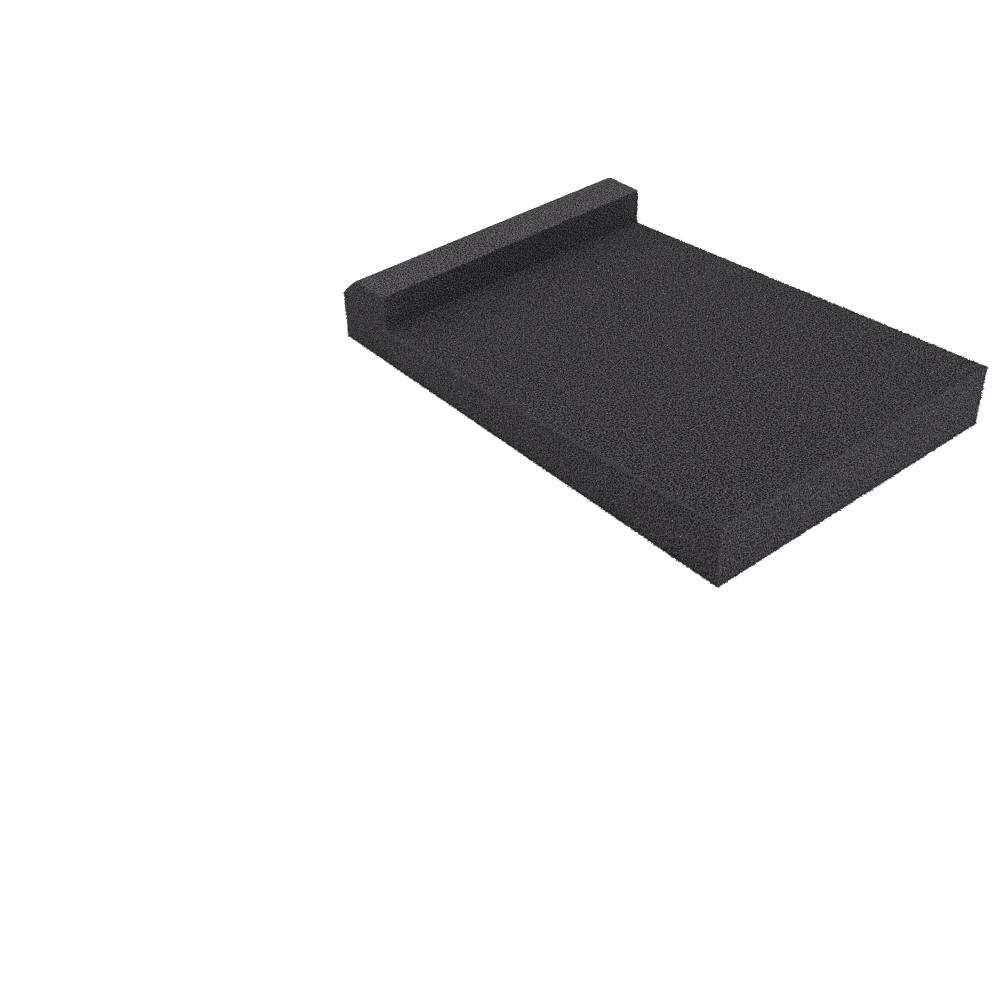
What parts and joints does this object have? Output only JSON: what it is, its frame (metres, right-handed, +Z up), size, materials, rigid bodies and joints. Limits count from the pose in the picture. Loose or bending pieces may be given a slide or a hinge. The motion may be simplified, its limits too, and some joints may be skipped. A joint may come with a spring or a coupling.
{
  "type": "speaker isolation pad",
  "caption": "Wedge-shaped block of open-cell foam with a sloping platform for a loudspeaker, a flat underside and a raised stop lip with a chamfered outer edge.",
  "frame": {"origin": "middle of the underside", "axes": "+X along the length, from the stop lip at -X to the thick end at +X; +Y across the width; +Z up, away from the flat underside"},
  "size_m": [0.303, 0.2, 0.0438],
  "materials": {
    "foam": "charcoal open-cell polyurethane foam, matt, with pores under a millimetre across and cut edges that fray by about a cell"
  },
  "bodies": {
    "root": {"foam_pad": "foam"}
  },
  "joints": []
}
